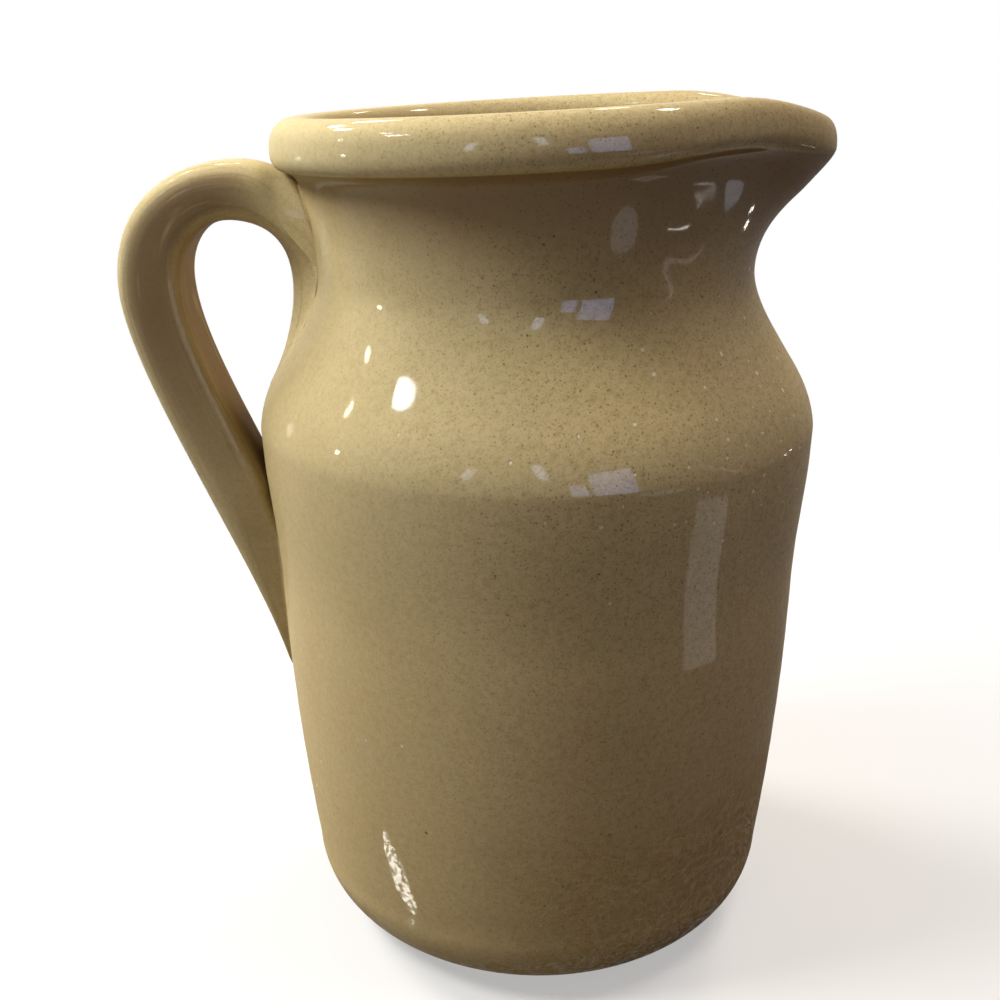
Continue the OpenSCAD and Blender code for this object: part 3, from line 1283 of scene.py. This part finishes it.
    def ease(self, rings: list[Ring]) -> None:
        """Strokes the strap smooth along its length where it stands off the neck.

        Args:
            rings: The rings up to the tail, which are changed.
        """
        for _ in range(self.ease_passes):
            old = [ring[:] for ring in rings]
            for number in range(self.root_first + 1, len(rings) - 2):
                for place, p in enumerate(old[number]):
                    share = self.ease_share * smooth((self.shape.offset(p) - self.ease_off) / self.ease_run)
                    rings[number][place] = mix(p, (old[number - 1][place] + old[number + 1][place]) / 2, share)

    def thinning_and_shade(self, number: int, a: float, z: float) -> float:
        """How far the strap's colour darkens: painted shade on its near side, stronger high up, and on its
        underside that faces the wall, and glaze thinned on its far side.

        Args:
            number: The ring's number.
            a: Angle round the ring.
            z: Height above the foot.

        Returns:
            The share of the darker colour there.
        """
        first = self.root_first + self.darken_from * self.root_rings
        past = smooth((number - first) / (self.darken_run * self.bend_rings))
        # Painted shade on the near side, stronger high up, and on the underside; glaze thinned on the far side.
        near = mix(*self.near_shade, smooth((z - self.near_z) / self.near_run))
        near *= max(0.0, -math.sin(a)) ** self.near_edge
        far = self.far_thin * max(0.0, math.sin(a)) ** self.far_edge
        under = self.under_shade * max(0.0, -math.cos(a)) ** self.under_edge
        return past * max(near, far, under)

    def build(self) -> bpy.types.Object:
        """Lofts the strap and notes which way it was pulled.

        Returns:
            The piece.
        """
        rings = self.rings()
        piece = Bench.loft("strap_handle", rings, self.crease, fill=True)
        run = [0.0]
        for a, b in zip(rings, rings[1:]):
            run.append(run[-1] + (b[0] - a[0]).length)
        girth = (self.strap_w + self.strap_t) / 4
        numbers = piece.data.attributes["ring"].data
        places = piece.data.attributes["place"].data
        pulled: list[Vector] = []
        thin_and_shade: list[float] = []
        for v, number, place in zip(piece.data.vertices, numbers, places):
            a = self.angles[place.value]
            along = self.stroke_squeeze * run[number.value]
            pulled.append(Vector((girth * math.cos(a), girth * math.sin(a), along)))
            thin_and_shade.append(self.thinning_and_shade(number.value, a, v.co.z))
        Bench.forget(piece)
        set_points(piece, "pulled", "FLOAT_VECTOR", pulled)
        # Share of the darker colour: painted shade on the near side and underside, thinned glaze on the far side.
        set_points(piece, "thin_and_shade", "FLOAT", thin_and_shade)
        return piece

    def dress(self, piece: bpy.types.Object) -> None:
        """Glazes the piece and puts it on the frame.

        Args:
            piece: The piece from build.
        """
        # The handle's darker colour is painted shade on its near side and underside, and glaze thinned on its far
        # side.
        glaze = Glaze("handle_glaze", thin_and_shade=(0.205, 0.130, 0.072), sheen=0.09, pulled=True)
        piece.data.materials.append(glaze.material())
        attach(piece, "root")
        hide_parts("handle")

    def crossing(self, path: Sequence[Vector], rise: float) -> "tuple[Vector, Vector] | None":
        """Where a path comes out of the wall.

        Args:
            path: Points from inside the wall outwards.
            rise: Length to go on from there along the path.

        Returns:
            The place on the wall and the place further along, or nothing where the path stays on one side.
        """
        for i, (a, b) in enumerate(zip(path, path[1:])):
            low, high = self.shape.offset(a), self.shape.offset(b)
            if low < 0 <= high:
                foot = mix(a, b, low / (low - high))
                left, at = rise, foot
                for far in path[i + 1:]:
                    gap = (far - at).length
                    if gap >= left:
                        return foot, mix(at, far, left / gap)
                    left -= gap
                    at = far
                return foot, at
        return None

    def root_edge(self, rise: float) -> list[tuple[Vector, Vector]]:
        """Line round the upper root at which it leaves the neck.

        Args:
            rise: Length to go up the strap from there.

        Returns:
            Pairs of a place on the neck and a place on the strap.
        """
        rings = self.rings()[self.root_first: self.tail_first]
        paths = ([ring[k] for ring in rings] for k in range(self.points))
        return [pair for pair in (self.crossing(path, rise) for path in paths) if pair]

    def tail_edge(self, rise: float) -> list[tuple[Vector, Vector]]:
        """Line round the tail at which it leaves the wall.

        Args:
            rise: Length to go up the strap from there.

        Returns:
            Pairs of a place on the wall and a place on the strap.
        """
        half = self.points // 2
        rings = self.rings()[self.tail_first:]
        left = [self.crossing(ring[half - 1:: -1], rise) for ring in rings]
        right = [self.crossing(ring[half:], rise) for ring in rings]
        return [pair for pair in left[::-1] + right if pair]


class Join(Enum):
    """The two places where the handle is joined on."""

    UPPER = "upper_slip"
    LOWER = "lower_slip"


@dataclass
class JoiningSlip:
    """Slip pressed out of a joint and smoothed to a fillet under the glaze."""

    shape: PotShape
    handle: StrapHandle
    join: Join
    width: float = 0.0010
    depth: float = 0.0010
    feather: float = 0.00006
    steps: int = 8
    crease: float = math.radians(60)

    def rings(self) -> list[Ring]:
        """Cross-sections of the fillet, one for each place on the joint's edge.

        Returns:
            The rings, with the first again at the end.
        """
        edge = self.handle.root_edge if self.join is Join.UPPER else self.handle.tail_edge
        rings: list[Ring] = []
        for foot, rise in edge(self.width):
            out = Vector((foot.x, foot.y, 0.0)).normalized()
            away = foot - rise
            away = (away - out * away.dot(out)).normalized()
            base = self.shape.land(foot + away * self.width, -self.feather)
            sunk = foot - out * self.depth - away * self.depth
            ring = []
            for i in range(self.steps + 1):
                t = i / self.steps
                ring.append(mix(mix(base, foot, t), mix(foot, rise, t), t))
            rings.append(ring + [mix(rise, sunk, 0.5), sunk, mix(sunk, base, 0.5)])
        return rings + [rings[0]]

    def build(self) -> bpy.types.Object:
        """Lofts the fillet round the joint.

        Returns:
            The piece.
        """
        piece = Bench.loft(self.join.value + "_fillet", self.rings(), self.crease, fill=False)
        Bench.forget(piece)
        return piece

    def dress(self, piece: bpy.types.Object) -> None:
        """Glazes the piece and puts it on the frame.

        Args:
            piece: The piece from build.
        """
        piece.data.materials.append(Glaze(self.join.value + "_glaze").material())
        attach(piece, "root")
        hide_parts(self.join.value)


class Use(Enum):
    """What a lamp is there for."""

    LIGHT = "soft light"
    SHINE = "a spot of light in the gloss"


@dataclass(frozen=True)
class Lamp:
    """A panel of light that faces the pot. Its angles are in degrees and its lengths in metres."""

    name: str
    azimuth: float
    elevation: float
    distance: float
    width: float
    height: float
    level: float
    colour: Colour
    use: Use
    shape: str = "ELLIPSE"
    turn: float = 0.0

    def build(self, target: Vector) -> bpy.types.Object:
        """Hangs the lamp.

        Args:
            target: The place that it faces.

        Returns:
            The lamp. Its level is the brightness of a white card that faces it at the target, or for a spot
            in the gloss the brightness of the panel.
        """
        data = bpy.data.lights.new(self.name, "AREA")
        data.shape = self.shape
        data.size, data.size_y = self.width, self.height
        spread = math.pi * self.distance ** 2 if self.use is Use.LIGHT else self.width * self.height
        data.energy = self.level * math.pi * spread
        data.color = self.colour
        lamp = bpy.data.objects.new(self.name, data)
        lamp.visible_camera = False
        lamp.visible_diffuse = self.use is Use.LIGHT
        lamp.visible_glossy = self.use is Use.SHINE
        bpy.context.scene.collection.objects.link(lamp)
        a, e = math.radians(self.azimuth), math.radians(self.elevation)
        way = Vector((math.cos(e) * math.cos(a), math.cos(e) * math.sin(a), math.sin(e)))
        lamp.location = target + way * self.distance
        turned = Quaternion((0.0, 0.0, 1.0), math.radians(self.turn))
        lamp.rotation_euler = (way.to_track_quat("Z", "Y") @ turned).to_euler()
        return lamp


@dataclass
class Studio:
    """Pale floor, soft light and the camera."""

    target: Place = (0.0, 0.0, 0.12)
    camera_at: Place = (-0.01007, -0.330, 0.23766)
    pitch: float = math.radians(19.39)
    roll: float = math.radians(0.723)
    lens: float = 44.298
    sensor: float = 36.0
    clip_start: float = 0.01
    floor_size: float = 12.0
    floor_cuts: int = 3
    floor_seen: Colour = (0.92, 0.92, 0.92)
    floor_unseen: Colour = (0.08, 0.065, 0.05)
    floor_fade: Step = Step(0.08, 0.42, 0.42, 1.0)
    room_low: Colour = (0.087, 0.058, 0.046)
    room_high: Colour = (0.101, 0.071, 0.058)
    room_rise: Step = Step(-0.2, 0.9)
    ceiling: Colour = (0.16, 0.15, 0.14)
    ceiling_rise: Step = Step(0.25, 0.60)
    lamps: tuple[Lamp, ...] = (
        Lamp("left", -165.0, 48.0, 1.1, 0.35, 0.35, 0.71, (1.0, 0.99, 0.95), Use.LIGHT),
        Lamp("back_left", 150.0, 36.0, 1.1, 0.40, 0.30, 0.74, (1.0, 0.98, 0.93), Use.LIGHT),
        Lamp("top", -10.0, 70.0, 1.1, 0.50, 0.50, 0.43, (1.0, 0.91, 0.84), Use.LIGHT),
        Lamp("back_right", 60.0, 20.0, 1.1, 0.30, 0.30, 0.42, (1.0, 0.88, 0.66), Use.LIGHT),
        Lamp("front", -128.0, 8.0, 1.0, 0.40, 0.20, 0.045, CREAM, Use.LIGHT),
        Lamp("right", -20.0, 35.0, 1.0, 0.30, 0.30, 0.03, (1.0, 0.80, 0.70), Use.LIGHT),
        Lamp("low", -140.0, -10.0, 0.6, 0.30, 0.03, 0.07, CREAM, Use.LIGHT),
        Lamp("key", -157.5, 39.3, 1.0, 0.165, 0.030, 100.0, WHITE, Use.SHINE, turn=23.0),
        Lamp("high_spot", -177.4, 29.3, 0.511, 0.022, 0.030, 50.0, BULB, Use.SHINE),
        Lamp("low_spot", -170.8, 11.1, 0.509, 0.024, 0.034, 55.0, BULB, Use.SHINE),
        Lamp("back_spot", 142.5, 46.5, 0.522, 0.070, 0.045, 60.0, BULB, Use.SHINE),
        Lamp("far_spot", 118.5, 47.5, 0.497, 0.085, 0.030, 60.0, BULB, Use.SHINE),
        Lamp("rim_spot", 28.4, 65.6, 0.540, 0.080, 0.040, 110.0, (1.0, 0.90, 0.80), Use.SHINE),
        Lamp("window", -62.0, 0.0, 1.0, 0.28, 0.62, 11.5, SKY, Use.SHINE, "RECTANGLE", 7.0),
        Lamp("window_side", -75.0, -4.0, 1.0, 0.12, 0.40, 11.5, SKY, Use.SHINE, "RECTANGLE", 7.0),
        Lamp("left_pane", -117.0, 15.0, 1.0, 0.07, 0.18, 15.0, PALE_SKY, Use.SHINE, "RECTANGLE", -12.0),
        Lamp("middle_pane", -90.0, 19.0, 1.0, 0.07, 0.22, 16.0, PALE_SKY, Use.SHINE, "RECTANGLE", 12.0),
        Lamp("bar", -30.0, -18.0, 0.21, 0.050, 0.060, 2.5, (1.0, 0.98, 0.94), Use.SHINE, "RECTANGLE"),
        Lamp("edge_spot", 158.6, 5.9, 0.491, 0.040, 0.060, 10.0, BULB, Use.SHINE),
        Lamp("side_spot", 79.0, 47.6, 0.477, 0.030, 0.030, 60.0, BULB, Use.SHINE),
        Lamp("handle_spot", 159.5, 46.0, 0.570, 0.060, 0.060, 90.0, BULB, Use.SHINE),
        Lamp("band_spot", -164.8, 46.2, 0.554, 0.060, 0.022, 60.0, BULB, Use.SHINE),
        Lamp("right_glint", 17.4, -8.2, 0.464, 0.018, 0.012, 40.0, GLINT, Use.SHINE),
        Lamp("side_glint", 21.4, -6.6, 0.464, 0.022, 0.010, 40.0, GLINT, Use.SHINE),
        Lamp("front_glint", -15.7, -12.4, 0.462, 0.004, 0.006, 45.0, GLINT, Use.SHINE, turn=40.0),
        Lamp("lip_streak", -5.9, -10.5, 0.463, 0.090, 0.004, 7.0, STREAK, Use.SHINE, turn=27.0),
        Lamp("lip_pane", 5.0, -6.5, 0.469, 0.046, 0.014, 3.2, (0.80, 0.88, 1.0), Use.SHINE),
        Lamp("throat_streak", -21.0, 3.0, 0.490, 0.226, 0.012, 2.6, STREAK, Use.SHINE, turn=137.0),
        Lamp("throat_pane", -45.8, -11.2, 0.475, 0.150, 0.053, 2.2, (0.90, 0.95, 1.0), Use.SHINE),
        Lamp("foot_spot", -138.2, -50.9, 0.1444, 0.0080, 0.030, 30.0, (1.0, 0.97, 0.88), Use.SHINE, turn=45.7),
    )

    def shown_rays(self, sheet: NodeSheet) -> Wire:
        """Tells the rays that show the background, in the picture, in gloss or through glass.

        Args:
            sheet: Nodes of the floor or the world.

        Returns:
            1 for such rays, otherwise 0.
        """
        path = sheet.node("ShaderNodeLightPath", {}, {})
        seen = path["Is Camera Ray"] + path["Is Glossy Ray"] + path["Is Transmission Ray"]
        return seen.math("MINIMUM", seen, 1.0)

    def floor(self) -> bpy.types.Object:
        """Lays the floor, which fades to white away from the pot.

        Returns:
            The floor.
        """
        plane = Bench.start("floor", bpy.ops.mesh.primitive_plane_add, size=self.floor_size)
        bpy.ops.mesh.subdivide(number_cuts=self.floor_cuts)
        bpy.ops.object.mode_set(mode="OBJECT")
        made = bpy.data.materials.new("floor_paint")
        made.use_nodes = True
        sheet = NodeSheet(made.node_tree)
        seen = self.shown_rays(sheet)
        at = sheet.node("ShaderNodeTexCoord", {}, {})["Object"]
        far = sheet.node("ShaderNodeVectorMath", {"operation": "LENGTH"}, {0: at})["Value"]
        paint = sheet.blend(seen, self.floor_unseen, self.floor_seen)
        matt = sheet.node("ShaderNodeBsdfDiffuse", {}, {"Color": paint})
        glow = sheet.node("ShaderNodeEmission", {}, {"Color": WHITE, "Strength": 1.0})
        share = seen * self.floor_fade.of(far)
        mixed = sheet.node("ShaderNodeMixShader", {}, {0: share, 1: matt["BSDF"], 2: glow["Emission"]})
        sheet.node("ShaderNodeOutputMaterial", {}, {"Surface": mixed["Shader"]})
        plane.data.materials.append(made)
        return plane

    def world(self) -> None:
        """Sets the room: dim and warm for the light, white where it is seen, with a dim ceiling in the gloss."""
        world = bpy.data.worlds.new("room")
        bpy.context.scene.world = world
        world.use_nodes = True
        sheet = NodeSheet(world.node_tree)
        seen = self.shown_rays(sheet)
        way = sheet.node("ShaderNodeTexCoord", {}, {})["Generated"]
        up = sheet.node("ShaderNodeSeparateXYZ", {}, {"Vector": way})["Z"]
        room = sheet.blend(self.room_rise.of(up), self.room_low, self.room_high)
        straight = sheet.node("ShaderNodeLightPath", {}, {})["Is Camera Ray"]
        overhead = self.ceiling_rise.of(up) * (1.0 - straight)
        backdrop = sheet.blend(overhead, WHITE, self.ceiling)
        shown = sheet.blend(seen, room, backdrop)
        glow = sheet.node("ShaderNodeBackground", {}, {"Color": shown, "Strength": 1.0})
        sheet.node("ShaderNodeOutputWorld", {}, {"Surface": glow["Background"]})

    def camera(self) -> bpy.types.Object:
        """Sets up the camera as in the photograph.

        Returns:
            The camera.
        """
        data = bpy.data.cameras.new("camera")
        data.lens, data.sensor_width, data.clip_start = self.lens, self.sensor, self.clip_start
        camera = bpy.data.objects.new("camera", data)
        bpy.context.scene.collection.objects.link(camera)
        back = Vector((0.0, -math.cos(self.pitch), math.sin(self.pitch)))
        level_up = Vector((0.0, math.sin(self.pitch), math.cos(self.pitch)))
        side = Vector((1.0, 0.0, 0.0))
        c, s = math.cos(self.roll), math.sin(self.roll)
        right, up = c * side - s * level_up, s * side + c * level_up
        turn = Matrix((right, up, back)).transposed()
        camera.matrix_world = Matrix.Translation(self.camera_at) @ turn.to_4x4()
        bpy.context.scene.camera = camera
        return camera

    def build(self) -> None:
        """Sets up the whole studio."""
        self.floor()
        self.world()
        for lamp in self.lamps:
            lamp.build(Vector(self.target))
        self.camera()
        bpy.context.scene.view_settings.view_transform = "Standard"


def main() -> None:
    """Builds the pieces in order, then the studio."""
    logging.basicConfig(level=logging.INFO, format="%(name)s: %(message)s")
    shape = PotShape()
    handle = StrapHandle(shape)
    parts = [ThrownBody(shape), handle, JoiningSlip(shape, handle, Join.UPPER)]
    parts.append(JoiningSlip(shape, handle, Join.LOWER, width=0.0007, depth=0.0007))
    for part in parts:
        piece = part.build()
        part.dress(piece)
        LOG.info("%s: %d faces", piece.name, len(piece.data.polygons))
    Studio().build()


if __name__ == "__main__":
    main()
